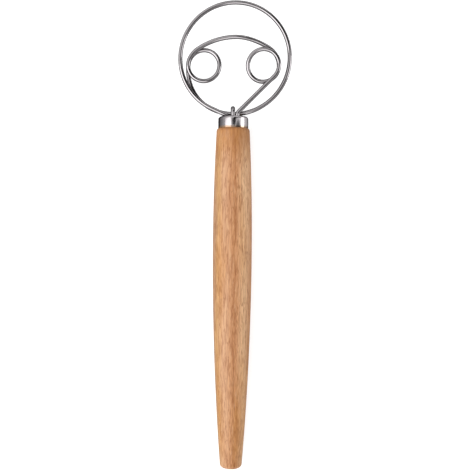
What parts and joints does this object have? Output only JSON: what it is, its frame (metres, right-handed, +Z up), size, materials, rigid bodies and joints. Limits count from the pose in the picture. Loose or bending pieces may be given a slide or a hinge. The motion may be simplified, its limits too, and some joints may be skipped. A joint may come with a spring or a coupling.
{
  "type": "dough whisk",
  "caption": "Dough whisk lying on its side: a turned barrel-shaped wooden handle with a steel ferrule, and one steel wire bent into a ring with an arch and two eyes.",
  "frame": {"origin": "on the surface the whisk lies on, under the middle of the ring's width and of the whole length", "axes": "+Y runs from the handle's butt to the top of the ring, +Z points up from the surface, +X is to the right of the head seen from above"},
  "size_m": [0.0828, 0.3402, 0.0284],
  "materials": {
    "handle_wood": "oiled, fine straight grain with short dark pores",
    "ferrule_steel": "polished stainless sheet",
    "wire_steel": "polished stainless wire",
    "resin": "set resin, satin"
  },
  "bodies": {
    "root": {"handle": "handle_wood", "ferrule": "ferrule_steel", "whisk_wire": "wire_steel", "staple": "wire_steel", "resin_plug": "resin"}
  },
  "joints": []
}
